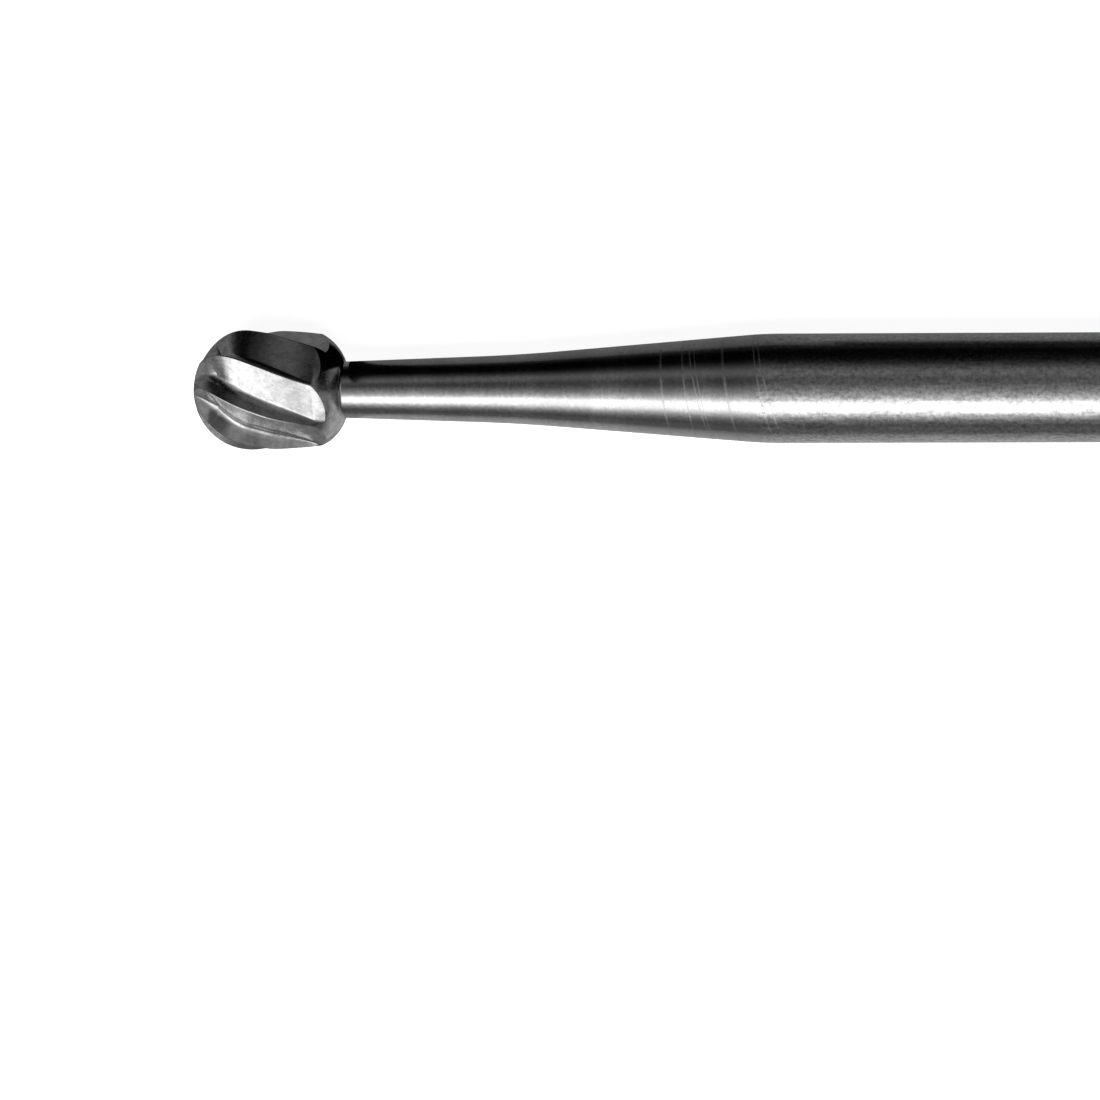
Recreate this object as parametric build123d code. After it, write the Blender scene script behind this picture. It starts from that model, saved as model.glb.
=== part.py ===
from build123d import *

import os
from math import cos, pi, radians, sin

# Round carbide burr with a straight handpiece shank, in millimetres.
#
# Frame: the tool axis is X, with the cutting head towards -X and the plain tail towards +X.
# The origin is on the axis where the shank's cylinder ends, at the foot of the domed tail.
# The burr lies down, so +Z is up. Stations are measured along the axis from the nose tip.
# Angles round the axis are in degrees, from +Z (up) towards +Y.

# ---------------------------------------------------------------- driving dimensions

overall_length = 44.5      # nose tip to the top of the tail dome

shank_diameter = 2.35      # straight shank, held in a collet
tail_dome_height = 0.44    # shallow spherical end on the shank

head_diameter = 2.7        # cutting diameter, over the blade edges
barrel_length = 0.45       # full-diameter stretch behind the ball nose
barrel_blend = 1.6         # radius that joins the barrel to the taper behind it
rim_station = 2.86         # where the blades end
rim_diameter = 2.41
back_bulge = 0.071         # how far the rounded back stands out of its chord
head_length = 3.3          # nose tip to the brazed face

neck_diameter = 1.224      # thinnest place, just behind the root fillet
neck_root_fillet = 0.07    # length of the small curve from the neck out to the brazed face
neck_root_step = 0.038     # how much the brazed face stands out from the neck, on the radius
waist_station = 7.15       # the slim neck ends here and the flare to the shank starts
waist_diameter = 1.484
flare_end_station = 12.5   # the flare meets the shank
waist_blend = 34.0         # radius between the slim neck and the flare
shoulder_blend = 8.0       # radius between the flare and the shank

blade_count = 8
edge_angle_at_rim = 3.3    # where one blade's edge ends, round the axis
edge_lead_at_rim = 13.0    # degrees of wrap for each millimetre along the surface, at the rim
edge_lead_growth = 1.4     # extra wrap towards the nose, in degrees for each square millimetre
edge_land_angle = 1.2      # narrow land left on each cutting edge
flute_lag_at_rim = 2.0     # from a cutting edge forward to the bottom of its flute, at the rim
flute_lag_growth = 2.25    # extra lag towards the nose, in degrees for each square millimetre
flute_lag_limit = 20.0     # the lag grows no further than this, near the tip
flute_bottom_roundness = 0.6   # radius of a flute's bottom, for each millimetre of its depth

long_flute_start = 4.0     # polar angle on the ball nose where every other flute begins
short_flute_start = 19.0   # and where the flutes between them begin
flute_full_angle = 50.0    # polar angle where they all reach full depth
flute_start_depth = 0.02
flute_depth = 0.365        # full depth, on the ball and at the start of the barrel
long_flute_rim_depth = 0.15    # depth left where the long flutes run out at the rim
short_flute_rim_depth = 0.04   # and where the short ones do
flute_start_lift = 0.07    # the grinding wheel enters this far clear of the nose
flute_overrun = 0.4        # and leaves this far behind the rim
cutter_height = 0.6        # how far the swept cutter stands out of the head
rake_overshoot = 1.5       # the cutter's flanks run past the blades' edges, in flank lengths
relief_overshoot = 1.2
nose_steps = 6             # steps between the cutter's outlines on the ball nose
side_steps = 5             # and along the side

# ---------------------------------------------------------------- derived dimensions

head_radius = head_diameter / 2
rim_radius = rim_diameter / 2
neck_radius = neck_diameter / 2
brazed_radius = neck_radius + neck_root_step
waist_radius = waist_diameter / 2
shank_radius = shank_diameter / 2

barrel_end_station = head_radius + barrel_length
shank_end_station = overall_length - tail_dome_height
blade_pitch_angle = 360 / blade_count
nose_arc_length = head_radius * pi / 2
rim_arc_length = nose_arc_length + rim_station - head_radius
taper_slope = (head_radius - rim_radius) / (rim_station - barrel_end_station)


def at_station(station):
    """Place along X of a station measured from the nose tip."""
    return station - shank_end_station


def round_axis(x, radius, angle):
    """Point at a radius and an angle round the tool axis."""
    return Vector(x, radius * sin(radians(angle)), radius * cos(radians(angle)))


# ---------------------------------------------------------------- carbide head


def head_envelope():
    """Turned blank of the head: ball nose, barrel, taper to the rim and rounded back."""
    tip = Vector(at_station(0), 0)
    nose_side = Vector(at_station(head_radius * (1 - cos(pi / 4))), head_radius * sin(pi / 4))
    nose_end = Vector(at_station(head_radius), head_radius)
    barrel_end = Vector(at_station(barrel_end_station), head_radius)
    rim = Vector(at_station(rim_station), rim_radius)
    brazed = Vector(at_station(head_length), brazed_radius)
    chord = brazed - rim
    outward = Vector(-chord.Y, chord.X).normalized()
    back_middle = (rim + brazed) / 2 + outward * back_bulge

    nose = ThreePointArc(tip, nose_side, nose_end)
    side = FilletPolyline(nose_end, barrel_end, rim, radius=barrel_blend)
    back = ThreePointArc(rim, back_middle, brazed)
    closing = Polyline(brazed, (brazed.X, 0), tip)
    return revolve(make_face(nose + side + back + closing), Axis.X)


def edge_angle(arc_length):
    """Angle of a cutting edge at a length along the surface from the nose tip."""
    to_rim = rim_arc_length - arc_length
    return edge_angle_at_rim + edge_lead_at_rim * to_rim + edge_lead_growth * to_rim**2


def flute_lag(arc_length):
    """Angle from a cutting edge forward to the bottom of its flute."""
    to_rim = max(0, rim_arc_length - arc_length)
    return min(flute_lag_limit, flute_lag_at_rim + flute_lag_growth * to_rim**2)


def flute_section(centre, edge, bottom, arc_length):
    """Cutter outline at one place along a flute.

    The wheel cuts towards the axis at x = centre, and the edge and the flute's bottom are given
    as (x, radius). The outline is a triangle with a rounded bottom, whose open side is raised to
    a crown that clears the blank: its short flank cuts one blade's rake face, and its long flank
    the relief of the next blade.
    """
    angle = edge_angle(arc_length)
    rake_edge = round_axis(*edge, angle)
    valley = round_axis(*bottom, angle + flute_lag(arc_length))
    relief_edge = round_axis(*edge, angle + blade_pitch_angle - edge_land_angle)
    rake_top = valley + (rake_edge - valley) * rake_overshoot
    relief_top = valley + (relief_edge - valley) * relief_overshoot
    across = (relief_edge - valley).cross(rake_edge - valley).normalized()
    middle = (rake_top + relief_top) / 2
    outward = middle - Vector(centre, 0, 0)
    crown = middle + (outward - across * outward.dot(across)).normalized() * cutter_height
    outline = Face(Wire.make_polygon([valley, relief_top, crown, rake_top], close=True))
    bottom_corner = outline.vertices().sort_by_distance(valley)[0]
    depth = (Vector(*edge) - Vector(*bottom)).length
    return outline.fillet_2d(flute_bottom_roundness * depth, [bottom_corner])


def nose_section(start_angle, polar):
    """Outline of a flute that begins at start_angle, at a polar angle on the ball nose."""
    centre = at_station(head_radius)
    grown = min(1, (polar - start_angle) / (flute_full_angle - start_angle))
    depth = flute_start_depth + (flute_depth - flute_start_depth) * grown
    outer = head_radius + flute_start_lift * (1 - grown)
    edge, bottom = [
        (centre - reach * cos(radians(polar)), reach * sin(radians(polar)))
        for reach in (outer, outer - depth)
    ]
    return flute_section(centre, edge, bottom, head_radius * radians(polar))


def side_section(rim_depth, station):
    """Outline of a flute that runs out at rim_depth, on the barrel or the taper or beyond the rim."""
    tapered = max(0, station - barrel_end_station)
    edge_radius = head_radius - taper_slope * tapered
    run_out = min(1, (station - head_radius) / (rim_station - head_radius))
    depth = flute_depth + (rim_depth - flute_depth) * run_out**2
    x = at_station(station)
    arc_length = nose_arc_length + station - head_radius
    return flute_section(x, (x, edge_radius), (x, edge_radius - depth), arc_length)


def flute_cutter(start_angle, rim_depth):
    """Solid that the grinding wheel sweeps out along a flute, from start_angle to rim_depth."""
    nose_sweep = (90 - start_angle) / nose_steps
    side_sweep = (rim_station + flute_overrun - head_radius) / side_steps
    nose = [nose_section(start_angle, start_angle + nose_sweep * step) for step in range(nose_steps + 1)]
    side = [side_section(rim_depth, head_radius + side_sweep * step) for step in range(1, side_steps + 1)]
    return loft(nose + side)


def carbide_head():
    """Fluted head: the blank with a flute ground in front of each blade, short and long in turn."""
    cutters = [
        flute_cutter(short_flute_start, short_flute_rim_depth),
        flute_cutter(long_flute_start, long_flute_rim_depth),
    ]
    flutes = [
        cutters[blade % len(cutters)].rotate(Axis.X, blade_pitch_angle * blade)
        for blade in range(blade_count)
    ]
    return head_envelope() - flutes


# ---------------------------------------------------------------- steel neck and shank


def steel_shank():
    """Neck, flare, straight shank and domed tail, turned from one steel rod."""
    root = Vector(at_station(head_length), brazed_radius)
    neck = Vector(at_station(head_length + neck_root_fillet), neck_radius)
    waist = Vector(at_station(waist_station), waist_radius)
    shoulder = Vector(at_station(flare_end_station), shank_radius)
    shank_end = Vector(at_station(shank_end_station), shank_radius)
    tail_top = Vector(at_station(overall_length), 0)
    dome_radius = (shank_radius**2 + tail_dome_height**2) / (2 * tail_dome_height)

    root_curve = TangentArc(neck, root, tangent=neck - waist)
    neck_side = FilletPolyline(neck, waist, shoulder, shank_end, radius=(waist_blend, shoulder_blend))
    dome = RadiusArc(shank_end, tail_top, dome_radius)
    closing = Polyline(tail_top, (root.X, 0), root)
    return revolve(make_face(root_curve + neck_side + dome + closing), Axis.X)


if __name__ == "__main__":
    os.makedirs("parts", exist_ok=True)
    for name, solid in {"carbide_head": carbide_head(), "steel_shank": steel_shank()}.items():
        export_step(solid, f"parts/{name}.step")
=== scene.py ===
"""Looks of a round-nose carbide burr that lies on a pale table.

The burr is a fluted carbide head brazed to a turned steel shank. Both are made here as fine meshes
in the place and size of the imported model. Sizes are in millimetres and angles in degrees, and
stations are measured along the tool axis from the nose tip, which points towards -X.
"""

import logging
import math
from dataclasses import dataclass
from enum import Enum
from typing import Any, Callable, Optional, Union

import bmesh
import bpy
from mathutils import Matrix, Vector

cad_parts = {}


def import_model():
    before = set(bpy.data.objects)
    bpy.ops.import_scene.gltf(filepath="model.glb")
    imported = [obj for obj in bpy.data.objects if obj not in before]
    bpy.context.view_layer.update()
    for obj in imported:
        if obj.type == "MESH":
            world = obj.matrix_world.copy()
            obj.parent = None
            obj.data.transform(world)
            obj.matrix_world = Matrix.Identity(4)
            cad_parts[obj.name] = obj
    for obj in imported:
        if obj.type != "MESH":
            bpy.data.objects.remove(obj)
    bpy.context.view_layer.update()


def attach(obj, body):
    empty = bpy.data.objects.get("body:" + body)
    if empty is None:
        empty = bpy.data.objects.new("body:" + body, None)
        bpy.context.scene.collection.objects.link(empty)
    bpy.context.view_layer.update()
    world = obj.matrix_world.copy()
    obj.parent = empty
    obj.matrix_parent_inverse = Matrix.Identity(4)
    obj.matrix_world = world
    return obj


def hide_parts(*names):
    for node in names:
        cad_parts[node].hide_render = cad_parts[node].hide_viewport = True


MM = 0.001
TAIL_STATION = 44.06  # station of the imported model's origin, at the foot of the domed tail
WELD_DISTANCE = 1e-5  # vertices this near each other are one
TOLERANCE = 1e-4  # two stations or two radii this near each other are the same
ROUNDING = 1e-6  # more than rounding ever adds to a length here
HALVINGS = 24  # how often a search halves its range
LOG = logging.getLogger("burr")

Value = Union["Socket", float, tuple]
Stops = tuple[tuple[float, float], ...]
Scale = tuple[float, float, float]


def bisect(holds: Callable[[float], bool], inside: float, outside: float) -> float:
    """Finds how far a condition holds.

    Args:
        holds: The condition on a value.
        inside: Value for which it holds.
        outside: Value for which it does not.

    Returns:
        The last value on the way to outside for which it still holds.
    """
    for _ in range(HALVINGS):
        middle = (inside + outside) / 2
        if holds(middle):
            inside = middle
        else:
            outside = middle
    return inside


# ---------------------------------------------------------------- shader maths


@dataclass(frozen=True)
class Grain:
    """Noise that a finish is mottled with."""

    scale: Union[float, Scale]  # how fine it is, the same all ways or along each axis
    detail: float = 2.0  # how many ever finer layers it has
    coarseness: float = 0.5  # how strongly the finer layers show


def grey(level: float) -> tuple[float, float, float, float]:
    """Opaque grey of a level from 0 to 1."""
    return (level, level, level, 1.0)


class Socket:
    """A shader value that takes part in arithmetic as a number does."""

    def __init__(self, shader: "Shader", output: bpy.types.NodeSocket) -> None:
        """Wraps one output of a node in a shader."""
        self.shader = shader
        self.output = output

    def __add__(self, other: Value) -> "Socket":
        """Sum of two values."""
        return self.shader.math("ADD", self, other)

    def __sub__(self, other: Value) -> "Socket":
        """This value less another."""
        return self.shader.math("SUBTRACT", self, other)

    def __rsub__(self, other: Value) -> "Socket":
        """Another value less this one."""
        return self.shader.math("SUBTRACT", other, self)

    def __mul__(self, other: Value) -> "Socket":
        """Product of two values."""
        return self.shader.math("MULTIPLY", self, other)

    __radd__ = __add__
    __rmul__ = __mul__


class Shader:
    """Node tree of one material or of the world."""

    MIX_COLOUR = 2  # which output of a Mix node is its colour

    def __init__(self, owner: Union[bpy.types.Material, bpy.types.World]) -> None:
        """Starts an empty tree on a material or a world.

        Args:
            owner: The data block that the tree belongs to.
        """
        owner.use_nodes = True
        self.tree = owner.node_tree
        self.tree.nodes.clear()

    def node(self, kind: str, settings: Optional[dict[str, Any]] = None, **inputs: Value) -> bpy.types.Node:
        """Adds a node, sets it up and feeds its sockets.

        Args:
            kind: Type of the node, without the leading ShaderNode.
            settings: Properties that are set before the sockets are fed. The key stops holds the
                stops of a colour ramp, as pairs of a place and a grey value.
            **inputs: Values or links by socket name, with _ for a space, or by in0, in1 and so on.

        Returns:
            The new node.
        """
        made = self.tree.nodes.new("ShaderNode" + kind)
        for key, value in (settings or {}).items():
            if key == "stops":
                self.set_stops(made.color_ramp, value)
            else:
                setattr(made, key, value)
        for name, value in inputs.items():
            is_index = name.startswith("in") and name[2:].isdigit()
            socket = made.inputs[int(name[2:]) if is_index else name.replace("_", " ")]
            if isinstance(value, Socket):
                self.tree.links.new(value.output, socket)
            else:
                socket.default_value = value
        return made

    @staticmethod
    def set_stops(ramp: bpy.types.ColorRamp, stops: Stops) -> None:
        """Gives a colour ramp its grey stops.

        Args:
            ramp: The ramp, which has two stops when it is new.
            stops: Pairs of a place from 0 to 1 and a grey value, in order.
        """
        while len(ramp.elements) < len(stops):
            ramp.elements.new(1.0)
        for element, (place, level) in zip(ramp.elements, stops):
            element.position = place
            element.color = grey(level)

    def out(self, node: bpy.types.Node, name: Union[str, int] = 0) -> Socket:
        """Wraps one output of a node."""
        return Socket(self, node.outputs[name])

    def math(self, operation: str, *values: Value) -> Socket:
        """Adds a Math node on the given values and returns its result."""
        inputs = {f"in{place}": value for place, value in enumerate(values)}
        return self.out(self.node("Math", {"operation": operation}, **inputs))

    def coordinates(self) -> Socket:
        """Object coordinates in millimetres."""
        place = self.out(self.node("TexCoord"), "Object")
        return self.scaled(place, (1 / MM, 1 / MM, 1 / MM))

    def uv_map(self, name: str) -> Socket:
        """Coordinates of a named UV map."""
        return self.out(self.node("UVMap", {"uv_map": name}))

    def scaled(self, vector: Socket, scale: Scale) -> Socket:
        """A vector with each of its coordinates scaled."""
        return self.out(self.node("Mapping", {"vector_type": "POINT"}, Vector=vector, Scale=scale))

    def split(self, vector: Socket) -> tuple[Socket, Socket, Socket]:
        """The three coordinates of a vector."""
        parts = self.node("SeparateXYZ", Vector=vector)
        return self.out(parts, "X"), self.out(parts, "Y"), self.out(parts, "Z")

    def noise(self, vector: Socket, grain: Grain) -> Socket:
        """Smooth noise over a vector.

        Args:
            vector: Coordinates that the noise lies in.
            grain: How fine and how rough it is.

        Returns:
            The value, from 0 to 1.
        """
        scale = grain.scale
        if isinstance(scale, tuple):
            vector, scale = self.scaled(vector, scale), 1.0
        settings = {"Scale": scale, "Detail": grain.detail, "Roughness": grain.coarseness}
        return self.out(self.node("TexNoise", Vector=vector, **settings))

    def dots(self, vector: Socket, scale: float, size: float) -> Socket:
        """Scattered dots, 1 at their middles and 0 between them.

        Args:
            vector: Coordinates that the dots lie in.
            scale: How many dots there are in each unit.
            size: Radius of a dot, in spacings.

        Returns:
            The value.
        """
        cells = self.node("TexVoronoi", {"feature": "F1"}, Vector=vector, Scale=scale, Randomness=1.0)
        return self.fade(self.out(cells, "Distance"), size)

    def fade(self, distance: Socket, width: float) -> Socket:
        """1 where a distance is 0, falling to 0 where it reaches a width."""
        return self.ramp(distance, (0.0, 1.0), (width, 0.0))

    def ramp(self, value: Socket, *stops: tuple[float, float]) -> Socket:
        """A value passed through a ramp of grey stops."""
        return self.out(self.node("ValToRGB", {"stops": stops}, Fac=value))

    def blend(self, share: Value, first: Union[Socket, float], second: float) -> Socket:
        """Colour between a first colour and a grey.

        Args:
            share: How far it has gone from the first colour to the second, from 0 to 1.
            first: Colour at 0, as a link or a grey level.
            second: Grey level at 1.

        Returns:
            The colour.
        """
        start = first if isinstance(first, Socket) else grey(first)
        # Sockets 6 and 7 of a Mix node are its two colours.
        made = self.node("Mix", {"data_type": "RGBA"}, in0=share, in6=start, in7=grey(second))
        return self.out(made, self.MIX_COLOUR)

    def bumps(self, *layers: tuple[Socket, float]) -> Socket:
        """Normal that several layers of relief bend.

        Args:
            *layers: Pairs of a height from 0 to 1 and what a height of 1 measures in millimetres.

        Returns:
            The normal.
        """
        bend: dict[str, Value] = {}
        for height, tallest in layers:
            made = self.node("Bump", Strength=1.0, Distance=tallest * MM, Height=height, **bend)
            bend = {"Normal": self.out(made)}
        return bend["Normal"]

    def finish(self, node: bpy.types.Node, kind: str = "OutputMaterial") -> None:
        """Feeds the tree's output from the first output of a node."""
        self.node(kind, in0=self.out(node))


# ---------------------------------------------------------------- finishes

MOTTLE_CONTRAST: Stops = ((0.36, 0.0), (0.64, 1.0))  # spreads noise, which keeps near its middle
MIDDLE = 0.5  # of a value that runs from 0 to 1


@dataclass(frozen=True)
class GroundCarbide:
    """Sintered carbide ground by a fine wheel: grey and satin, pitted, and darker and rougher at the bottom
    of its flutes and on its lands.
    """

    name: str = "ground_carbide"
    light: float = 0.72  # grey of the lightest mottles
    dark: float = 0.48  # and of the darkest
    mottle: Grain = Grain(5.0, 4.0, 0.65)
    smoothest: float = 0.12
    roughest: float = 0.3
    grain: Grain = Grain(13.0, 3.0, 0.6)
    grain_height: float = 0.0012
    pit_scale: float = 6.0
    pit_size: float = 0.2  # radius of a pit, in spacings
    pit_height: float = 0.0015
    pit_cover: float = 0.4  # how much of the metal a pit hides
    streaks: Grain = Grain((34.0, 1.6, 1.0))  # finer across a flute than along it
    streak_height: float = 0.0008
    darkening: float = 0.2  # grey that the metal is darkened towards at the bottom of a flute and on the lands, and of pits
    darkening_cover: float = 0.8  # how far the metal is darkened where the darkening is strongest
    darkening_across: Stops = (  # how strong the darkening is, by the place across one blade's pitch
        (0.0, 0.1),
        (0.12, 0.2),
        (0.2, 0.3),
        (0.3, 0.2),
        (0.42, 0.0),
        (0.9, 0.0),
        (0.93, 0.6),
        (1.0, 0.6),
    )
    darkening_roughness: float = 0.16  # how much rougher the darkened metal is

    def material(self) -> bpy.types.Material:
        """Builds the material.

        Returns:
            The material.
        """
        made = bpy.data.materials.new(self.name)
        shader = Shader(made)
        place = shader.coordinates()
        flute = shader.uv_map(CuttingHead.UV_MAP)
        mottle = shader.noise(place, self.mottle)
        grain = shader.noise(place, self.grain)
        streaks = shader.noise(flute, self.streaks)
        pits = shader.dots(place, self.pit_scale, self.pit_size)
        # Darker and rougher at the bottom of each flute and on each land, by the place across a pitch.
        darkening = shader.ramp(shader.split(flute)[0], *self.darkening_across)
        clean = shader.blend(shader.ramp(mottle, *MOTTLE_CONTRAST), self.dark, self.light)
        darkened = shader.blend(darkening * self.darkening_cover, clean, self.darkening)
        pitted = shader.blend(pits * self.pit_cover, darkened, self.darkening)
        metal = shader.node(
            "BsdfPrincipled",
            Base_Color=pitted,
            Metallic=1.0,
            Roughness=grain * (self.roughest - self.smoothest) + darkening * self.darkening_roughness + self.smoothest,
            Normal=shader.bumps(
                (grain, self.grain_height), (streaks, self.streak_height), (1.0 - pits, self.pit_height)
            ),
        )
        shader.finish(metal)
        return made


@dataclass(frozen=True)
class Scratch:
    """Fine scratch that runs round the flare or the start of the shank."""

    station: float
    slant: float  # how far along the axis it moves for each millimetre towards +Y
    half_width: float


@dataclass(frozen=True)
class GroundSteel:
    """Tool steel, turned on the neck and the flare and centreless-ground on the shank."""

    name: str = "ground_steel"
    light: float = 0.86  # grey of the lightest mottles
    dark: float = 0.36  # and of the darkest
    smoothest: float = 0.13
    roughest: float = 0.24
    rings: Grain = Grain((16.0, 0.5, 0.5), 4.0, 0.7)  # marks of the turning, round the axis
    ring_height: float = 0.0011
    ring_patches: Grain = Grain((1.1, 0.3, 0.3))
    ring_contrast: Stops = ((0.4, 0.1), (0.6, 1.0))  # the rings fade between their patches
    lay: Grain = Grain((1.6, 12.0, 12.0), 3.0, 0.6)  # marks of the grinding, along the shank
    lay_height: float = 0.0008
    speckle: Grain = Grain(11.0, 4.0, 0.7)
    speckle_height: float = 0.0008
    speckle_share: float = 0.7  # how much of the tint is speckle, and not the marks of the machining
    turned_spread: float = 0.4  # how mottled the turned neck is, where the ground shank is 1
    speck_scale: float = 3.2
    speck_size: float = 0.09  # radius of a speck, in spacings
    speck_grey: float = 0.25
    speck_cover: float = 0.6  # how much of the metal a speck hides
    scratch_roughness: float = 0.2  # how much rougher a scratch is
    scratches: tuple[Scratch, ...] = (
        Scratch(10.43, -0.1, 0.04),
        Scratch(10.93, -0.14, 0.03),
        Scratch(11.15, -0.22, 0.025),
        Scratch(11.24, -0.2, 0.02),
        Scratch(11.83, -0.16, 0.045),
        Scratch(12.55, -0.2, 0.03),
        Scratch(12.7, -0.26, 0.03),
    )

    def material(self) -> bpy.types.Material:
        """Builds the material.

        Returns:
            The material.
        """
        made = bpy.data.materials.new(self.name)
        shader = Shader(made)
        place = shader.coordinates()
        along, sideways, _ = shader.split(place)
        station = along + TAIL_STATION
        patches = shader.ramp(shader.noise(place, self.ring_patches), *self.ring_contrast)
        rings = shader.noise(place, self.rings) * patches
        lay = shader.noise(place, self.lay)
        speckle = shader.noise(place, self.speckle)
        specks = shader.dots(place, self.speck_scale, self.speck_size)
        ground = shader.math("GREATER_THAN", station, SteelShank.flare_end)
        scratched: Value = 0.0
        for scratch in self.scratches:
            off = shader.math("ABSOLUTE", station - sideways * scratch.slant - scratch.station)
            scratched = shader.math("MAXIMUM", scratched, shader.fade(off, scratch.half_width))
        turned = 1.0 - ground
        machined = rings * turned + lay * ground
        tint = speckle * self.speckle_share + machined * (1.0 - self.speckle_share)
        spread = ground * (1.0 - self.turned_spread) + self.turned_spread
        mottle = (shader.ramp(tint, *MOTTLE_CONTRAST) - MIDDLE) * spread + MIDDLE
        shade = shader.blend(mottle, self.dark, self.light)
        marked = shader.blend(specks * self.speck_cover, shade, self.speck_grey)
        smooth = tint * (self.roughest - self.smoothest) + self.smoothest
        metal = shader.node(
            "BsdfPrincipled",
            Base_Color=marked,
            Metallic=1.0,
            Roughness=smooth + scratched * self.scratch_roughness,
            Normal=shader.bumps(
                (rings * turned, self.ring_height),
                (lay * ground, self.lay_height),
                (speckle, self.speckle_height),
            ),
        )
        shader.finish(metal)
        return made


# ---------------------------------------------------------------- turned shapes


class Lathe:
    """Draws half of a section from the tool axis outwards, and turns it into a closed skin."""

    def __init__(self, station: float, radius: float = 0.0) -> None:
        """Starts the section at a station and a radius."""
        self.bm = bmesh.new()
        self.end = bmesh.ops.create_vert(self.bm, co=(station, 0.0, radius))["vert"][0]

    def line(self, station: float, radius: float, parts: int = 1) -> bmesh.types.BMVert:
        """Draws a straight run.

        Args:
            station: Where the run ends along the axis.
            radius: How far from the axis it ends.
            parts: How many equal edges it has.

        Returns:
            The vertex at its end.
        """
        start = self.end.co.copy()
        goal = Vector((station, 0.0, radius))
        for part in range(parts):
            self.end = bmesh.ops.extrude_vert_indiv(self.bm, verts=[self.end])["verts"][0]
            self.end.co = start.lerp(goal, (part + 1) / parts)
        return self.end

    def arc(self, station: float, radius: float, degrees: float, parts: int) -> bmesh.types.BMVert:
        """Draws an arc about a centre.

        Args:
            station: Place of the centre along the axis.
            radius: Its distance from the axis.
            degrees: How far the arc turns, from the nose over the top towards the tail.
            parts: How many equal edges it has.

        Returns:
            The vertex at its end.
        """
        made = bmesh.ops.spin(
            self.bm,
            geom=[self.end],
            cent=(station, 0.0, radius),
            axis=(0.0, 1.0, 0.0),
            angle=math.radians(degrees),
            steps=parts,
        )
        self.end = made["geom_last"][0]
        return self.end

    def round_off(self, corner: bmesh.types.BMVert, tangent: float, parts: int) -> None:
        """Rounds a corner between two straight runs.

        Args:
            corner: The corner's vertex.
            tangent: How far from the corner the rounding starts on each run.
            parts: How many edges it has.
        """
        bmesh.ops.bevel(
            self.bm,
            geom=[corner],
            offset=tangent,
            offset_type="OFFSET",
            segments=parts,
            profile=0.5,
            affect="VERTICES",
            material=-1,
        )

    def turn(self, columns: int) -> bmesh.types.BMesh:
        """Turns the section about the tool axis.

        Args:
            columns: How many steps the turn has.

        Returns:
            The closed skin, with its faces outwards.
        """
        bm = self.bm
        for vert in bm.verts:
            if vert.co.z < TOLERANCE:
                vert.co.z = 0.0  # an arc ends a rounding error off the axis, and its pole would stay open
        bmesh.ops.spin(
            bm,
            geom=bm.verts[:] + bm.edges[:],
            cent=(0.0, 0.0, 0.0),
            axis=(1.0, 0.0, 0.0),
            angle=math.tau,
            steps=columns,
            use_merge=True,
        )
        bmesh.ops.remove_doubles(bm, verts=bm.verts[:], dist=WELD_DISTANCE)
        bmesh.ops.recalc_face_normals(bm, faces=bm.faces[:])
        return bm


def placed(bm: bmesh.types.BMesh, name: str, finish: bpy.types.Material) -> bpy.types.Object:
    """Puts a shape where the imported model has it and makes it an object.

    Args:
        bm: Shape in millimetres, with its stations along X.
        name: Name of the object.
        finish: Material of the whole shape.

    Returns:
        The object, which sits at the origin in metres.
    """
    bmesh.ops.transform(
        bm,
        matrix=Matrix.Scale(MM, 4) @ Matrix.Translation((-TAIL_STATION, 0.0, 0.0)),
        verts=bm.verts[:],
    )
    return linked(bm, name, finish)


def linked(bm: bmesh.types.BMesh, name: str, finish: bpy.types.Material) -> bpy.types.Object:
    """Turns a shape into an object of the scene.

    Args:
        bm: Shape in metres, which is used up.
        name: Name of the object.
        finish: Material of the whole shape.

    Returns:
        The object.
    """
    mesh = bpy.data.meshes.new(name)
    bm.to_mesh(mesh)
    bm.free()
    mesh.materials.append(finish)
    made = bpy.data.objects.new(name, mesh)
    bpy.context.collection.objects.link(made)
    return made


def sharpen(bm: bmesh.types.BMesh, degrees: float) -> None:
    """Shades a shape smoothly and keeps its corners crisp.

    Args:
        bm: The shape.
        degrees: Edges that fold by more than this stay sharp.
    """
    limit = math.radians(degrees)
    for face in bm.faces:
        face.smooth = True
    for edge in bm.edges:
        edge.smooth = edge.calc_face_angle(0.0) < limit


def azimuth(point: Vector) -> float:
    """Angle of a point round the tool axis, from +Z towards +Y."""
    return math.degrees(math.atan2(point.y, point.z))


def around(polar: float, reach: float, angle: float) -> Vector:
    """Vector from a place on the tool axis.

    Args:
        polar: Angle that it makes with the direction of the nose.
        reach: Its length.
        angle: Angle round the axis.

    Returns:
        The vector.
    """
    out = reach * math.sin(math.radians(polar))
    turn = math.radians(angle)
    return Vector((-reach * math.cos(math.radians(polar)), out * math.sin(turn), out * math.cos(turn)))


# ---------------------------------------------------------------- carbide head


@dataclass(frozen=True)
class Run:
    """Where the wheel enters and leaves along one flute."""

    start_angle: float  # polar angle on the ball nose where it enters
    rim_depth: float  # how deep it still is at the rim


class Reach(Enum):
    """The two kinds of flute, which take turns round the head."""

    SHORT = Run(19.0, 0.02)
    LONG = Run(4.0, 0.125)


@dataclass(frozen=True)
class Cut:
    """One section across a flute."""

    centre: float  # station on the axis that the wheel cuts towards
    polar: float  # angle of the section's cone from the nose, 90 on the side
    surface: float  # distance of the blank's surface from the centre
    arc: float  # length along the surface from the nose tip
    depth: float  # depth of the flute's bottom below the wheel's edges
    lift: float = 0.0  # how far the wheel's edges are clear of the blank


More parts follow.
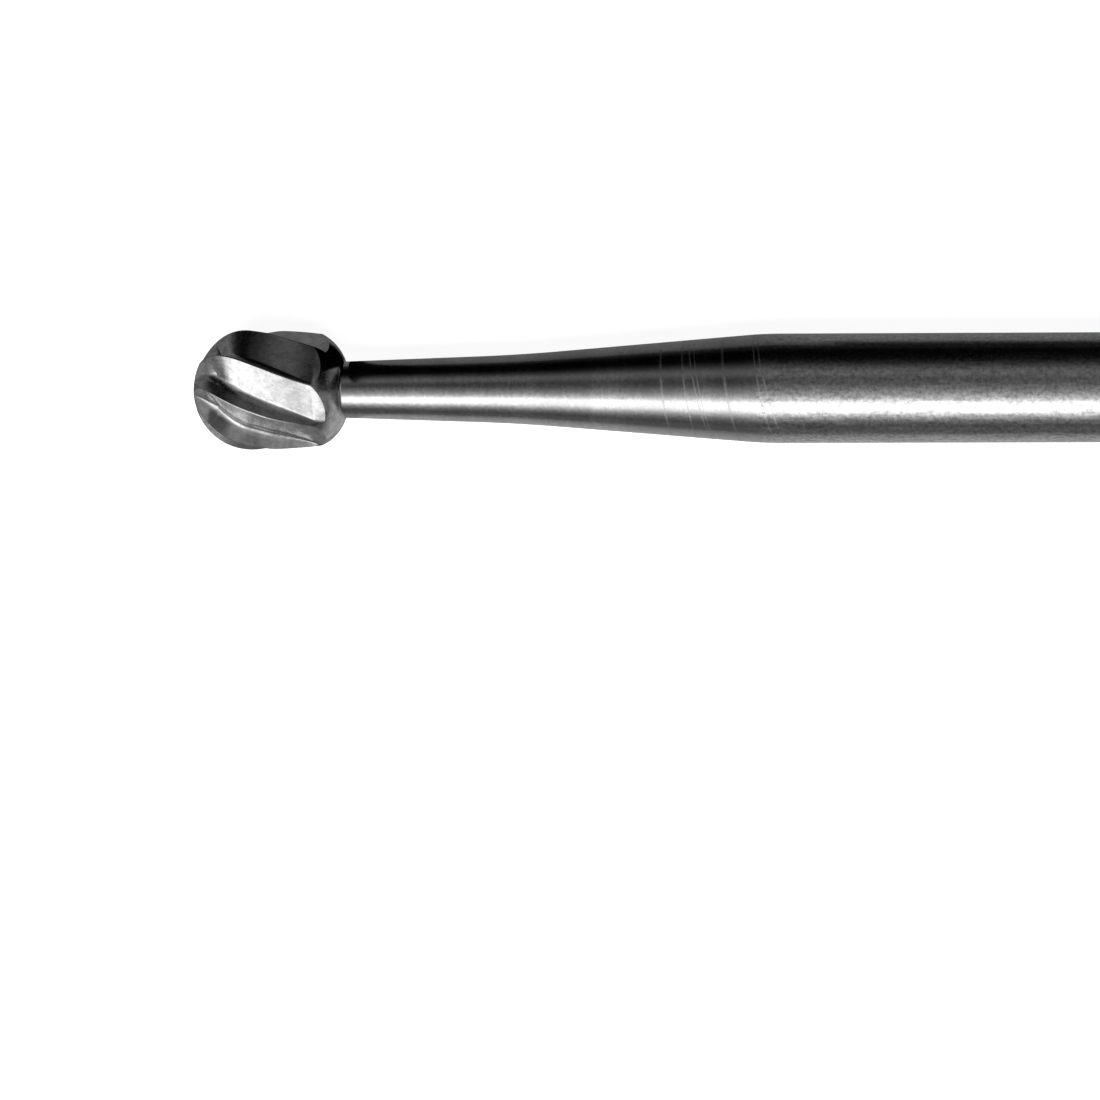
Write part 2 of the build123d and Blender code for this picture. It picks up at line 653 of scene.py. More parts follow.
class Flute:
    """Outline of the wheel at one section of a flute: rake flank, rounded bottom and relief flank.

    A place on the outline is a number that grows from the edge of the rake flank, round the bottom,
    to the edge of the relief flank.
    """

    RAKE_EDGE = 0.0
    BOTTOM_START = 1.0  # where the rake flank ends and the rounded bottom starts
    LOWEST = 1.5
    BOTTOM_END = 2.0  # where the relief flank starts
    RELIEF_EDGE = 3.0

    def __init__(
        self, hub: Vector, surface: float, corners: tuple[Vector, Vector, Vector], radius: float
    ) -> None:
        """Works out the outline.

        Args:
            hub: Centre on the axis that the wheel cuts towards.
            surface: Distance of the blank's surface from the hub.
            corners: Where the rake flank ends, where the two flanks would meet and where the
                relief flank ends.
            radius: Radius of the rounded bottom.
        """
        self.hub, self.surface, self.radius = hub, surface, radius
        self.rake_edge, self.valley, self.relief_edge = corners
        to_rake = (self.rake_edge - self.valley).normalized()
        to_relief = (self.relief_edge - self.valley).normalized()
        half = to_rake.angle(to_relief) / 2
        self.rake_start = self.valley + to_rake * radius / math.tan(half)
        self.relief_start = self.valley + to_relief * radius / math.tan(half)
        bisector = (to_rake + to_relief).normalized()
        self.middle = self.valley + bisector * radius / math.sin(half)
        lowest = self.middle - bisector * radius
        self.is_open = (lowest - hub).length < surface - TOLERANCE
        self.limits = (self.RAKE_EDGE, self.RELIEF_EDGE)
        if self.is_open:
            self.limits = (self.meets(self.RAKE_EDGE), self.meets(self.RELIEF_EDGE))

    def point(self, place: float) -> Vector:
        """Point of the outline.

        Args:
            place: Its place on the outline.

        Returns:
            The point, as a station, y and z.
        """
        if place <= self.BOTTOM_START:
            return self.rake_edge.lerp(self.rake_start, place - self.RAKE_EDGE)
        if place >= self.BOTTOM_END:
            return self.relief_start.lerp(self.relief_edge, place - self.BOTTOM_END)
        first, last = self.rake_start - self.middle, self.relief_start - self.middle
        return self.middle + first.slerp(last, place - self.BOTTOM_START).normalized() * self.radius

    def from_hub(self, place: float) -> float:
        """Distance of a place on the outline from the hub."""
        return (self.point(place) - self.hub).length

    def meets(self, edge: float) -> float:
        """Place between the bottom and one edge where the outline meets the blank's surface.

        Args:
            edge: Place of that edge.

        Returns:
            The place, or the edge itself where the outline stays inside the blank.
        """
        if self.from_hub(edge) <= self.surface + ROUNDING:
            return edge
        return bisect(lambda place: self.from_hub(place) < self.surface, self.LOWEST, edge)


@dataclass
class CuttingHead:
    """Fluted carbide head: ball nose, short barrel, taper to a rim and rounded back."""

    radius: float = 1.35
    barrel_end: float = 1.8
    barrel_blend: float = 1.6
    rim: float = 2.81
    rim_radius: float = 1.212
    length: float = 3.3
    brazed_radius: float = 0.65
    back_bulge: float = 0.071
    blades: int = 8
    edge_at_rim: float = 3.95  # angle round the axis where one blade's edge ends
    lead_at_rim: float = 13.14  # degrees of wrap for each millimetre along the surface
    lead_growth: float = 1.4  # extra degrees for each square millimetre towards the nose
    land_angle: float = 1.2
    lag_at_rim: float = 2.0  # from a cutting edge forward to the flute's bottom
    lag_growth: float = 2.25  # extra degrees for each square millimetre towards the nose
    lag_limit: float = 20.0
    full_angle: float = 50.0  # polar angle where the flutes reach full depth
    start_depth: float = 0.02
    start_lift: float = 0.07  # how far clear of the nose the wheel enters
    depth: float = 0.365
    bottom_roundness: float = 0.6  # radius of a flute's bottom, for each millimetre of its depth
    longest_overrun: float = 0.4
    least_stretch: float = 0.05  # of a flute's outline, for the rake, the bottom and the relief each
    gathering: float = 0.9  # share of the pitch that a flute's columns take at the tip of the nose
    sharp_fold: float = 14.0  # edges that fold by more than this stay sharp
    nose_rings: int = 90
    side_rings: int = 66
    back_rings: int = 26
    rake_columns: int = 6
    bottom_columns: int = 12
    relief_columns: int = 22
    land_columns: int = 4

    UV_MAP = "flute"

    def __post_init__(self) -> None:
        """Works out the sizes that follow from the others."""
        self.pitch = 360.0 / self.blades
        counts = (self.rake_columns, self.bottom_columns, self.relief_columns, self.land_columns)
        self.columns = sum(counts)
        ends = [sum(counts[: part + 1]) / self.columns for part in range(len(counts))]
        self.rake_end, self.bottom_end, self.relief_end, _ = ends
        self.rim_arc = self.radius * math.pi / 2 + self.rim - self.radius
        self.slope = (self.radius - self.rim_radius) / (self.rim - self.barrel_end)
        self.blend_tangent = self.barrel_blend * math.tan(math.atan(self.slope) / 2)
        rise = Vector((self.length - self.rim, self.brazed_radius - self.rim_radius))
        self.back_radius = (rise.length**2 / 4 + self.back_bulge**2) / (2 * self.back_bulge)
        middle = Vector((self.rim + self.length, self.rim_radius + self.brazed_radius)) / 2
        inward = Vector((rise.y, -rise.x)).normalized()
        self.back_centre = middle + inward * (self.back_radius - self.back_bulge)
        self.opening = {kind: self.opening_angle(kind) for kind in Reach}

    def edge_angle(self, arc: float) -> float:
        """Angle of a cutting edge at a length along the surface from the nose tip."""
        to_rim = self.rim_arc - arc
        return self.edge_at_rim + self.lead_at_rim * to_rim + self.lead_growth * to_rim**2

    def lag(self, arc: float) -> float:
        """Angle from a cutting edge forward to the bottom of its flute."""
        to_rim = max(0.0, self.rim_arc - arc)
        return min(self.lag_limit, self.lag_at_rim + self.lag_growth * to_rim**2)

    def side_radius(self, station: float) -> float:
        """Radius over the blades on the barrel and the taper.

        Args:
            station: Place along the axis.

        Returns:
            The radius.
        """
        past = station - self.barrel_end
        if past > self.blend_tangent:
            return self.radius - self.slope * past
        return self.radius - max(0.0, past + self.blend_tangent) ** 2 / (2 * self.barrel_blend)

    def back_surface(self, station: float) -> float:
        """Radius of the rounded back at a station."""
        along = station - self.back_centre.x
        return self.back_centre.y + math.sqrt(self.back_radius**2 - along**2)

    def nose_cut(self, kind: Reach, polar: float) -> Cut:
        """Section across a flute on the ball nose.

        Args:
            kind: Which kind of flute it is.
            polar: Polar angle of the section.

        Returns:
            The section.
        """
        start = kind.value.start_angle
        grown = max(0.0, min(1.0, (polar - start) / (self.full_angle - start)))
        depth = self.start_depth + (self.depth - self.start_depth) * grown
        arc = self.radius * math.radians(polar)
        return Cut(self.radius, polar, self.radius, arc, depth, self.start_lift * (1.0 - grown))

    def side_cut(self, kind: Reach, station: float) -> Cut:
        """Section across a flute on the barrel or the taper, or on the wheel's way out past the rim.

        Args:
            kind: Which kind of flute it is.
            station: Place of the section along the axis.

        Returns:
            The section.
        """
        run_out = min(1.0, (station - self.radius) / (self.rim - self.radius))
        depth = self.depth + (kind.value.rim_depth - self.depth) * run_out**2
        return Cut(station, 90.0, self.side_radius(station), self.rim_arc + station - self.rim, depth)

    def flute(self, cut: Cut) -> Flute:
        """Draws the outline of the wheel.

        Args:
            cut: The section that it is drawn on.

        Returns:
            The outline.
        """
        hub = Vector((cut.centre, 0.0, 0.0))
        start = self.edge_angle(cut.arc)
        edge = cut.surface + cut.lift
        corners = (
            hub + around(cut.polar, edge, start),
            hub + around(cut.polar, edge - cut.depth, start + self.lag(cut.arc)),
            hub + around(cut.polar, edge, start + self.pitch - self.land_angle),
        )
        return Flute(hub, cut.surface, corners, self.bottom_roundness * cut.depth)

    def opening_angle(self, kind: Reach) -> float:
        """Polar angle where a flute first cuts into the ball nose."""
        start = kind.value.start_angle
        return bisect(lambda polar: self.flute(self.nose_cut(kind, polar)).is_open, self.full_angle, start)

    def section(self, cut: Cut, kind: Reach, share: float) -> Vector:
        """Point of the fluted surface on one section.

        Args:
            cut: The section.
            kind: Which kind of flute it crosses.
            share: Place across one blade's pitch, from 0 to 1.

        Returns:
            The point, as a station, y and z.
        """
        flute = self.flute(cut)
        if not flute.is_open:
            return self.unground(cut, flute, self.opening[kind], share)
        low, high = flute.limits
        first = max(Flute.BOTTOM_START, low + self.least_stretch)
        second = max(first + self.least_stretch, min(Flute.BOTTOM_END, high - self.least_stretch))
        if share <= self.rake_end:
            return flute.point(low + (first - low) * share / self.rake_end)
        if share <= self.bottom_end:
            along = (share - self.rake_end) / (self.bottom_end - self.rake_end)
            return flute.point(first + (second - first) * along)
        if share <= self.relief_end:
            along = (share - self.bottom_end) / (self.relief_end - self.bottom_end)
            return flute.point(second + (high - second) * along)
        land_start = azimuth(flute.point(high))
        land_end = azimuth(flute.point(low)) + self.pitch
        angle = land_start + (land_end - land_start) * (share - self.relief_end) / (1.0 - self.relief_end)
        return flute.hub + around(cut.polar, cut.surface, angle)

    def unground(self, cut: Cut, flute: Flute, opening: float, share: float) -> Vector:
        """Point of the ball nose ahead of a flute, where its columns draw together to a point.

        Args:
            cut: The section.
            flute: Outline of the wheel, still clear of the nose.
            opening: Polar angle where the flute opens.
            share: Place across one blade's pitch, from 0 to 1.

        Returns:
            The point, as a station, y and z.
        """
        middle = azimuth(flute.valley)
        half = self.pitch / 2 * (1.0 - cut.polar / opening) * self.gathering
        if share <= self.relief_end:
            angle = middle - half + 2 * half * share / self.relief_end
        else:
            land = (share - self.relief_end) / (1.0 - self.relief_end)
            angle = middle + half + (self.pitch - 2 * half) * land
        return flute.hub + around(cut.polar, cut.surface, angle)

    def exit_station(self, kind: Reach, share: float) -> float:
        """Station where a flute comes out through the back of the head.

        Args:
            kind: Which kind of flute it is.
            share: Place across one blade's pitch, from 0 to 1.

        Returns:
            The station.
        """

        def is_inside(station: float) -> bool:
            """Whether the flute's surface is still below the back at a station."""
            point = self.section(self.side_cut(kind, station), kind, share)
            return math.hypot(point.y, point.z) < self.back_surface(station)

        return bisect(is_inside, self.rim, self.rim + self.longest_overrun)

    def ground(self, station: float, polar: float, kind: Reach, share: float) -> Vector:
        """Where a point of the turned blank lies once the flutes are ground.

        Args:
            station: Place of the point along the axis.
            polar: Its polar angle from the nose.
            kind: Which kind of flute it lies in.
            share: Place across one blade's pitch, from 0 to 1.

        Returns:
            The point, as a station, y and z.
        """
        if station < self.radius - TOLERANCE:
            return self.section(self.nose_cut(kind, polar), kind, share)
        leaves = self.exit_station(kind, share)
        if station < self.rim + TOLERANCE:
            along = (station - self.radius) / (self.rim - self.radius)
            cut = self.side_cut(kind, self.radius + (leaves - self.radius) * along)
            return self.section(cut, kind, share)
        along = (station - self.rim) / (self.length - self.rim)
        there = min(self.length, leaves + (self.length - leaves) * along)
        angle = azimuth(self.section(self.side_cut(kind, leaves), kind, share))
        point = around(90.0, self.back_surface(there), angle)
        return Vector((there, point.y, point.z))

    def blank(self) -> bmesh.types.BMesh:
        """Turns the blank of the head, with a column of vertices for each place across a flute.

        Returns:
            The blank. Behind the ball nose it is a plain cylinder, whose rings get their places and
            radii when the flutes are ground.
        """
        lathe = Lathe(0.0)
        lathe.arc(self.radius, 0.0, 90.0, self.nose_rings)
        lathe.line(self.rim, self.radius, self.side_rings)
        lathe.line(self.length, self.radius, self.back_rings)
        lathe.line(self.length, 0.0)
        return lathe.turn(self.columns * self.blades)

    def build(self, finish: bpy.types.Material) -> bpy.types.Object:
        """Turns the blank and grinds its flutes.

        Args:
            finish: Material of the head.

        Returns:
            The head.
        """
        bm = self.blank()
        bm.verts.index_update()
        step = self.pitch / self.columns
        kinds = tuple(Reach)
        known: dict[tuple[int, Reach, int], Vector] = {}
        marks: dict[int, Vector] = {}
        for vert in bm.verts:
            height = math.hypot(vert.co.y, vert.co.z)
            if height < TOLERANCE:
                continue
            blade, place = divmod(round(azimuth(vert.co) / step), self.columns)
            kind = kinds[blade % len(kinds)]
            polar = math.degrees(math.atan2(height, self.radius - vert.co.x))
            key = (round(vert.co.x / WELD_DISTANCE), kind, place)
            if key not in known:
                known[key] = self.ground(vert.co.x, polar, kind, place / self.columns)
            length = self.radius * math.radians(min(polar, 90.0)) + max(0.0, vert.co.x - self.radius)
            marks[vert.index] = Vector((place / self.columns, length))
            vert.co = Matrix.Rotation(-math.radians(blade * self.pitch), 3, "X") @ known[key]
        self.mark(bm, marks)
        bmesh.ops.recalc_face_normals(bm, faces=bm.faces[:])
        sharpen(bm, self.sharp_fold)
        return placed(bm, "ground_head", finish)

    def mark(self, bm: bmesh.types.BMesh, marks: dict[int, Vector]) -> None:
        """Gives the head its UV map: the share of the way across a flute, and the length along it.

        Args:
            bm: The head.
            marks: The two coordinates by the index of a vertex. Those on the axis have none.
        """
        layer = bm.loops.layers.uv.new(self.UV_MAP)
        for face in bm.faces:
            shares = [marks[vert.index].x for vert in face.verts if vert.index in marks]
            wraps = max(shares) - min(shares) > 1 / 2  # it runs from the end of one pitch to the next
            for loop in face.loops:
                place = marks.get(loop.vert.index, Vector((shares[0], 0.0)))
                across = 1.0 if wraps and place.x == 0.0 else place.x
                loop[layer].uv = (across, place.y)


# ---------------------------------------------------------------- steel shank


@dataclass
class SteelShank:
    """Neck, flare, straight shank and domed tail, turned from one rod."""

    overall_length: float = 44.5
    radius: float = 1.175
    brazed_station: float = 3.3
    brazed_radius: float = 0.65
    neck_radius: float = 0.612
    root_fillet: float = 0.07
    waist_station: float = 7.15
    waist_radius: float = 0.742
    flare_end: float = 12.5
    waist_blend: float = 34.0
    shoulder_blend: float = 8.0
    sharp_fold: float = 24.0  # edges that fold by more than this stay sharp
    columns: int = 256
    root_rings: int = 6
    blend_rings: int = 12
    dome_rings: int = 16

    def build(self, finish: bpy.types.Material) -> bpy.types.Object:
        """Turns the shank.

        Args:
            finish: Material of the shank.

        Returns:
            The shank.
        """
        dome_height = self.overall_length - TAIL_STATION
        dome_radius = (self.radius**2 + dome_height**2) / (2 * dome_height)
        root_step = self.brazed_radius - self.neck_radius
        root_radius = (self.root_fillet**2 + root_step**2) / (2 * root_step)
        neck_start = self.brazed_station + self.root_fillet
        neck_slope = math.atan2(self.waist_radius - self.neck_radius, self.waist_station - neck_start)
        flare_slope = math.atan2(self.radius - self.waist_radius, self.flare_end - self.waist_station)
        lathe = Lathe(self.brazed_station)
        lathe.line(self.brazed_station, self.brazed_radius)
        root_angle = math.degrees(math.asin(self.root_fillet / root_radius))
        lathe.arc(neck_start, self.neck_radius + root_radius, -root_angle, self.root_rings)
        waist = lathe.line(self.waist_station, self.waist_radius)
        shoulder = lathe.line(self.flare_end, self.radius)
        lathe.line(TAIL_STATION, self.radius)
        dome_angle = math.degrees(math.asin(self.radius / dome_radius))
        lathe.arc(self.overall_length - dome_radius, 0.0, dome_angle, self.dome_rings)
        waist_tangent = self.waist_blend * math.tan((flare_slope - neck_slope) / 2)
        lathe.round_off(waist, waist_tangent, self.blend_rings)
        lathe.round_off(shoulder, self.shoulder_blend * math.tan(flare_slope / 2), self.blend_rings)
        bm = lathe.turn(self.columns)
        sharpen(bm, self.sharp_fold)
        return placed(bm, "turned_shank", finish)


# ---------------------------------------------------------------- studio

# Places of cards along the tool axis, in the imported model's frame.
NOSE_END = -420.0  # where the cards start beyond the nose
NECK_START = -40.7  # where the cards on the table change from the head's to the neck's
TAIL_END = 170.0  # where the cards end beyond the tail
CARD_HEIGHT = -1.27  # height of the cards on the table, just above its top


@dataclass(frozen=True)
class Card:
    """Glowing card that only the burr's metal sees, a painted reflection graded across by stops of a place
    and a glow.
    """

    name: str
    glow: Stops

    UV_MAP = "across"

    @property
    def start(self) -> float:
        """Place of its first edge."""
        return self.glow[0][0]

    @property
    def width(self) -> float:
        """How far it reaches across, from its first edge to its last."""
        return self.glow[-1][0] - self.start

    @property
    def middle(self) -> float:
        """Place halfway between its two edges."""
        return self.start + self.width / 2

    def shape(self, bm: bmesh.types.BMesh) -> None:
        """Makes the card's faces in millimetres."""
        raise NotImplementedError

    def across(self, place: Vector) -> float:
        """Distance of a place from the tool axis, along +Y."""
        return place.y

    def build(self) -> None:
        """Makes the card."""
        bm = bmesh.new()
        self.shape(bm)
        layer = bm.loops.layers.uv.new(self.UV_MAP)
        for face in bm.faces:
            for loop in face.loops:
                loop[layer].uv = ((self.across(loop.vert.co) - self.start) / self.width, 0.0)
        bmesh.ops.scale(bm, vec=(MM, MM, MM), verts=bm.verts[:])
        made = linked(bm, self.name, self.material())
        # Only the metal's reflections show the card, so its glow is a painted reflection and lights nothing
        # else.
        made.visible_camera = False
        made.visible_diffuse = False
        made.visible_shadow = False
        made.visible_transmission = False

    def material(self) -> bpy.types.Material:
        """Glow that grades from one edge of the card to the other.

        Returns:
            The material.
        """
        brightest = max(glow for _, glow in self.glow) or 1.0  # a black card has no glow to divide by
        stops = tuple(((place - self.start) / self.width, glow / brightest) for place, glow in self.glow)
        made = bpy.data.materials.new(self.name)
        shader = Shader(made)
        along, _, _ = shader.split(shader.uv_map(self.UV_MAP))
        shader.finish(shader.node("Emission", Color=shader.ramp(along, *stops), Strength=brightest))
        return made


@dataclass(frozen=True)
class SkyCard(Card):
    """Card bent round the tool axis above the table. Its places are angles from straight up towards +Y."""

    reach: tuple[float, float]  # where it starts and ends along the tool axis
    radius: float = 120.0
    step: float = 1.5

    def shape(self, bm: bmesh.types.BMesh) -> None:
        """Spins a line along the axis from the card's first edge to its last.

        Args:
            bm: Takes the card's faces.
        """
        first = Matrix.Rotation(-math.radians(self.start), 3, "X") @ Vector((0.0, 0.0, self.radius))
        places = (first + Vector((end, 0.0, 0.0)) for end in self.reach)
        ends = [bmesh.ops.create_vert(bm, co=place)["vert"][0] for place in places]
        bmesh.ops.spin(
            bm,
            geom=[*ends, bm.edges.new(ends)],
            cent=(0.0, 0.0, 0.0),
            axis=(1.0, 0.0, 0.0),
            angle=-math.radians(self.width),
            steps=round(self.width / self.step),
        )

    def across(self, place: Vector) -> float:
        """Angle of a place round the tool axis."""
        return azimuth(place)


@dataclass(frozen=True)
class TableCard(Card):
    """Card that lies on the table and paints the table's reflection, lit on the burr's lit side and shaded
    on its dark side. Its places are distances from the tool axis along +Y.
    """

    reach: tuple[float, float]  # where it starts and ends along the tool axis

    def shape(self, bm: bmesh.types.BMesh) -> None:
        """Lays a grid beside the burr.

        Args:
            bm: Takes the card's face.
        """
        first, last = self.reach
        bmesh.ops.create_grid(bm, x_segments=1, y_segments=1, size=1.0)
        bmesh.ops.scale(bm, vec=((last - first) / 2, self.width / 2, 1.0), verts=bm.verts[:])
        bmesh.ops.translate(bm, vec=((first + last) / 2, self.middle, CARD_HEIGHT), verts=bm.verts[:])


@dataclass(frozen=True)
class EndCard(Card):
    """Upright card across the tool axis. Its places are distances from the axis along +Y."""

    place: float  # where it stands along the tool axis
    foot: float = 0.0  # height of its lower edge
    height: float = 130.0

    def shape(self, bm: bmesh.types.BMesh) -> None:
        """Stands a grid across the tool axis.

        Args:
            bm: Takes the card's face.
        """
        upright = Matrix.Rotation(math.pi / 2, 3, "Y")
        middle = (self.place, self.middle, self.foot + self.height / 2)
        bmesh.ops.create_grid(bm, x_segments=1, y_segments=1, size=1.0)
        bmesh.ops.scale(bm, vec=(self.height / 2, self.width / 2, 1.0), verts=bm.verts[:])
        bmesh.ops.rotate(bm, cent=(0.0, 0.0, 0.0), matrix=upright, verts=bm.verts[:])
        bmesh.ops.translate(bm, vec=middle, verts=bm.verts[:])


def changed(stops: Stops, new: dict[float, float]) -> Stops:
    """Stops of a card with other glows at some of their places.

    Args:
        stops: Pairs of a place and a glow.
        new: Glows by the places that change.

    Returns:
        The new stops.
    """
    return tuple((place, new.get(place, glow)) for place, glow in stops)


def row(kind: type[Card], last: float, *cards: tuple[str, Stops, float]) -> list[Card]:
    """Cards that follow one another along the tool axis.

    Args:
        kind: Class of the cards.
        last: Where the last one ends.
        *cards: Name, stops and start of each card.

    Returns:
        The cards, each of which ends where the next starts.
    """
    ends = [start for _, _, start in cards[1:]] + [last]
    return [kind(name, glow, (start, end)) for (name, glow, start), end in zip(cards, ends)]


@dataclass
class Studio:
    """Pale table, soft lamp and the cards that the metal reflects."""

    floor_height: float = -1.2878  # where the lowest blade rests
    floor_width: float = 6000.0
    floor_grey: float = 0.8
    floor_glow: float = 0.93
    lamp_station: float = 14.06
    lamp_size: tuple[float, float] = (300.0, 200.0)  # along the axis and across it
    lamp_distance: float = 300.0
    lamp_tilt: float = 30.0  # from straight above towards the lit side
    lamp_energy: float = 0.8

    def build(self) -> None:
        """Makes the floor, the cards, the lamp and the world."""
        self.floor()
        for card in self.sky() + self.table() + self.ends():
            card.build()
        self.lamp()
        self.world()

    def sky(self) -> list[Card]:
        """Cards overhead, each graded from the lit side over the top to the dark side.

        Returns:
            The cards, from the nose to the tail.
        """
        shank = (
            (-92.0, 0.06),
            (-84.0, 0.1),
            (-75.0, 0.18),
            (-68.0, 0.36),
            (-60.0, 0.8),
            (-53.0, 1.7),
            (-46.0, 2.4),
            (-33.0, 2.1),
            (-27.0, 1.0),
            (-20.0, 0.6),
            (-13.0, 0.39),
            (-5.0, 0.25),
            (3.0, 0.16),
            (11.0, 0.09),
            (20.0, 0.1),
            (30.0, 0.17),
            (38.0, 0.13),
            (46.0, 0.06),
            (54.0, 0.015),
            (62.0, 0.0),
            (92.0, 0.0),
        )
        neck = changed(shank, {3.0: 0.13, 11.0: 0.05, 20.0: 0.05, 30.0: 0.15})
        on_flare = {-53.0: 1.45, -46.0: 1.7, -13.0: 0.3, -5.0: 0.18, 3.0: 0.08}
        flare = changed(shank, on_flare | {11.0: 0.035, 20.0: 0.045, 30.0: 0.13, 38.0: 0.15})
        nose = changed(flare, {-13.0: 0.6, -5.0: 0.5, 3.0: 0.45, 11.0: 0.42, 20.0: 0.4, 30.0: 0.2})
        head = (
            (-92.0, 0.06),
            (-75.0, 0.15),
            (-60.0, 0.4),
            (-46.0, 0.5),
            (-38.0, 0.55),
            (-30.0, 0.5),
            (-21.0, 0.42),
            (-10.0, 0.42),
            (3.0, 0.44),
            (15.0, 0.3),
            (25.0, 0.19),
            (60.0, 0.17),
            (75.0, 0.04),
            (92.0, 0.0),
        )
        tail = (
            (-92.0, 0.06),
            (-75.0, 0.12),
            (-46.0, 0.3),
            (-21.0, 0.4),
            (8.0, 0.45),
            (20.0, 0.2),
            (32.0, 0.02),
            (45.0, 0.0),
            (92.0, 0.0),
        )
        end = ((-92.0, 0.08), (-20.0, 0.12), (8.0, 0.22), (20.0, 0.1), (32.0, 0.0), (92.0, 0.0))
        return row(
            SkyCard,
            TAIL_END,
            ("card_nose_sky", nose, NOSE_END),
            ("card_flare_sky", flare, -90.0),
            ("card_neck_sky", neck, -70.6),
            ("card_shank_sky", shank, -58.0),
            ("card_head_sky", head, -26.0),
            ("card_tail_sky", tail, 10.0),
            ("card_end_sky", end, 40.0),
        )

    def table(self) -> list[Card]:
        """Cards on the table: painted reflections of the table, lit on the lit side and shaded on the dark
        side.

        Returns:
            Those along the lit side and then those along the dark side, from the nose to the tail.
        """
        # Painted reflections of the table: brightest beside the burr on the lit side, dim on the shaded side
        # and black farther out.
        lit_nose = ((-150.0, 0.1), (-6.0, 0.1), (-3.0, 0.23), (-0.5, 0.3), (0.0, 0.2))
        lit = ((-150.0, 0.1), (-6.0, 0.12), (-3.0, 0.37), (-0.5, 0.5), (0.0, 0.3))
        nose = ((0.0, 0.17), (2.6, 0.17), (4.0, 0.1), (8.0, 0.3), (12.0, 0.3), (17.0, 0.02), (150.0, 0.02))
        dark = ((0.0, 0.16), (2.6, 0.17), (3.8, 0.17), (5.0, 0.09), (6.8, 0.01), (150.0, 0.0))
        neck = ((0.0, 0.15), (2.0, 0.15), (5.0, 0.12), (8.0, 0.08), (11.0, 0.01), (150.0, 0.0))
        return row(
            TableCard,
            TAIL_END,
            ("card_lit_nose_table", lit_nose, NOSE_END),
            ("card_lit_table", lit, NECK_START),
        ) + row(
            TableCard,
            TAIL_END,
            ("card_nose_table", nose, NOSE_END),
            ("card_head_table", dark, -48.0),
            ("card_neck_table", neck, NECK_START),
            ("card_dark_table", dark, -31.0),
        )

    def ends(self) -> list[Card]:
        """Cards that stand across the tool axis: two small ones on the dark side, and one beyond each end.

        Returns:
            The cards.
        """
        nose_side = ((8.0, 0.3), (15.0, 0.2))
        # A black card beside the neck, which only the metal sees, paints a dark reflection into the back of
        # the head.
        neck_black_reflection = ((0.55, 0.0), (8.0, 0.0))
        nose_end = ((-130.0, 0.42), (130.0, 0.3))
        tail_end = ((-130.0, 0.3), (-20.0, 0.2), (0.0, 0.02), (130.0, 0.0))
        return [
            EndCard("card_nose_side", nose_side, place=-70.0, height=3.0),
            EndCard("card_neck_flag", neck_black_reflection, place=-40.6, foot=CARD_HEIGHT, height=3.2),
            EndCard("card_nose_end", nose_end, place=NOSE_END),
            EndCard("card_tail_end", tail_end, place=TAIL_END),
        ]

    def floor(self) -> None:
        """Pale table top, near white to the camera even in the burr's soft shadow."""
        bm = bmesh.new()
        bmesh.ops.create_grid(bm, x_segments=1, y_segments=1, size=self.floor_width * MM / 2)
        bmesh.ops.translate(bm, vec=(0.0, 0.0, self.floor_height * MM), verts=bm.verts[:])
        surface = bpy.data.materials.new("table_top")
        shader = Shader(surface)
        paper = shader.node("BsdfDiffuse", Color=grey(self.floor_grey))
        glow = shader.node("Emission", Strength=self.seen(shader) * self.floor_glow)
        shader.finish(shader.node("AddShader", in0=shader.out(paper), in1=shader.out(glow)))
        linked(bm, "table_top", surface)

    @staticmethod
    def seen(shader: Shader) -> Socket:
        """Tells the rays that show a thing to the camera, straight, mirrored or through glass.

        Args:
            shader: Shader that asks.

        Returns:
            1 for those rays and 0 for the rest.
        """
        rays = shader.node("LightPath")
        kinds = ("Is Camera Ray", "Is Glossy Ray", "Is Transmission Ray")
        camera, glossy, transmission = (shader.out(rays, kind) for kind in kinds)
        return shader.math("MINIMUM", camera + glossy + transmission, 1.0)

    def lamp(self) -> None:
        """Large soft lamp above the lit side."""
        data = bpy.data.lights.new("soft_lamp", "AREA")
        data.shape = "RECTANGLE"
        data.size, data.size_y = (side * MM for side in self.lamp_size)
        data.energy = self.lamp_energy
        made = bpy.data.objects.new("soft_lamp", data)
        tilt = math.radians(self.lamp_tilt)
        away = Matrix.Rotation(tilt, 3, "X") @ Vector((0.0, 0.0, self.lamp_distance))
        made.location = (Vector((self.lamp_station - TAIL_STATION, 0.0, 0.0)) + away) * MM
        made.rotation_euler = (tilt, 0.0, 0.0)
        made.visible_glossy = False
        made.visible_camera = False
        bpy.context.collection.objects.link(made)

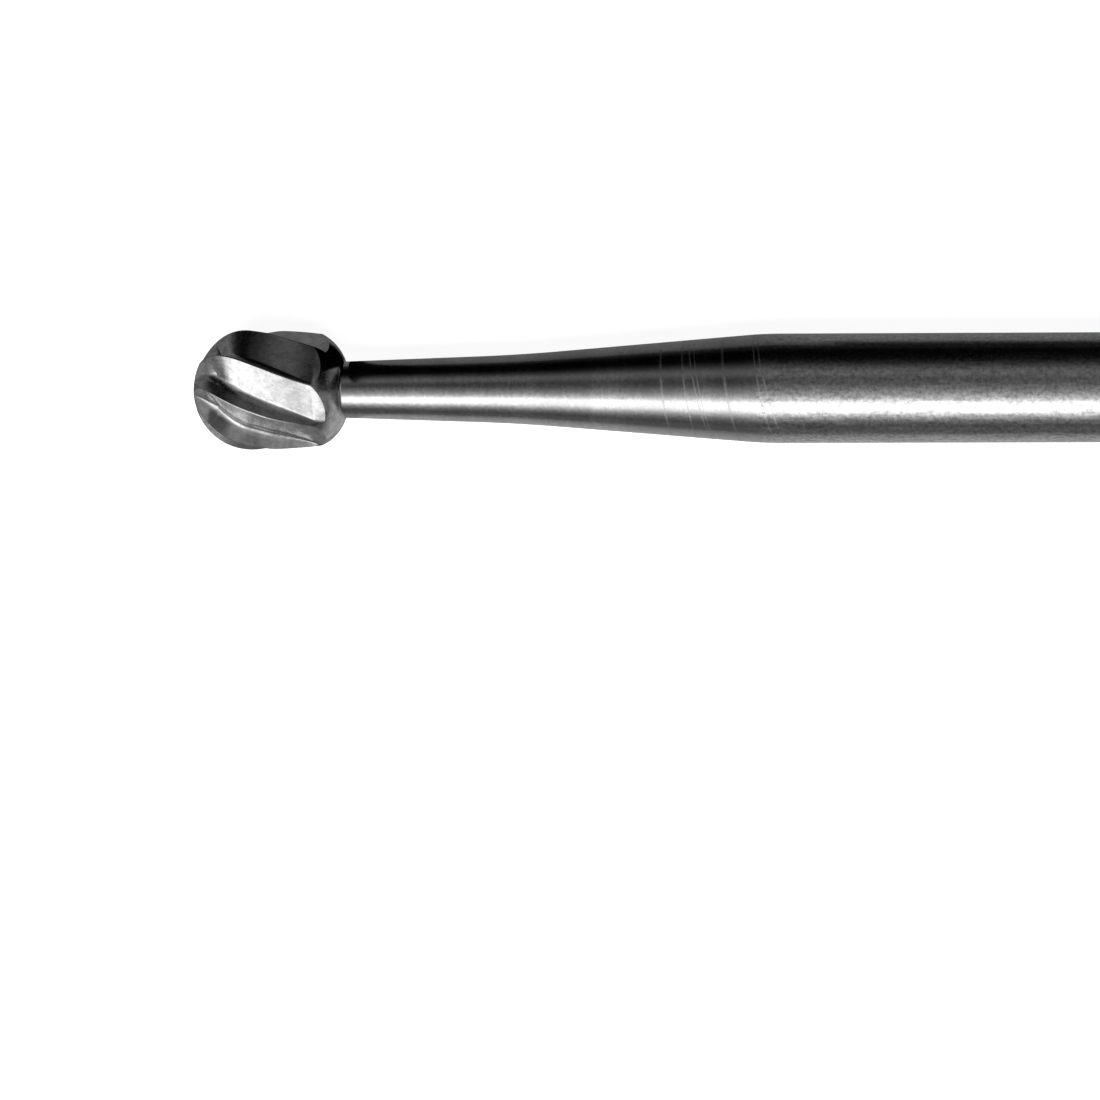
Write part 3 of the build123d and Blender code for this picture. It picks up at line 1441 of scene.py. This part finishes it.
    def world(self) -> None:
        """Surroundings that show white to the camera and light nothing."""
        made = bpy.data.worlds.new("studio")
        bpy.context.scene.world = made
        shader = Shader(made)
        shader.finish(shader.node("Background", Strength=self.seen(shader)), "OutputWorld")


# ---------------------------------------------------------------- camera


@dataclass
class Viewpoint:
    """Long lens above the burr, tipped so that the head is seen a little from behind."""

    head_station: float = 1.35
    lens: float = 300.0
    sensor: float = 36.0
    view_width: float = 23.83  # what the frame spans at the burr
    tip_angle: float = 10.2
    right_of_head: float = 6.372  # from the head to the middle of the frame
    below_axis: float = 3.466  # and from the tool axis
    nearest: float = 10.0  # things nearer than this are not seen
    farthest: float = 10000.0  # and things farther than this

    def build(self) -> None:
        """Makes the camera and points it."""
        data = bpy.data.cameras.new("camera")
        data.lens, data.sensor_width = self.lens, self.sensor
        data.clip_start, data.clip_end = self.nearest * MM, self.farthest * MM
        made = bpy.data.objects.new("camera", data)
        distance = self.view_width * self.lens / self.sensor
        tip = math.radians(self.tip_angle)
        back = Vector((math.sin(tip), 0.0, math.cos(tip)))
        right = Vector((math.cos(tip), 0.0, -math.sin(tip)))
        head = Vector((self.head_station - TAIL_STATION, 0.0, 0.0))
        aim = head + right * self.right_of_head - Vector((0.0, self.below_axis, 0.0))
        made.location = (aim + back * distance) * MM
        made.rotation_euler = (0.0, tip, 0.0)
        bpy.context.collection.objects.link(made)
        bpy.context.scene.camera = made


# ---------------------------------------------------------------- the burr


def corners(box: tuple[Vector, Vector]) -> list[list[float]]:
    """Two corners of a box as plain lists."""
    return [list(corner) for corner in box]


def main() -> None:
    """Builds the burr, its studio and its camera."""
    logging.basicConfig(level=logging.INFO, format="%(name)s: %(message)s")
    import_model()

    head = CuttingHead().build(GroundCarbide().material())
    shank = SteelShank().build(GroundSteel().material())
    pieces = ((head, "carbide_head", "ground_carbide"), (shank, "steel_shank", "ground_steel"))
    for piece, node, slot in pieces:
        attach(piece, "root")
        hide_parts(node)
        LOG.info("%s stands for %s: %d faces", piece.name, node, len(piece.data.polygons))

    Studio().build()
    Viewpoint().build()
    bpy.context.scene.view_settings.view_transform = "Standard"


if __name__ == "__main__":
    main()
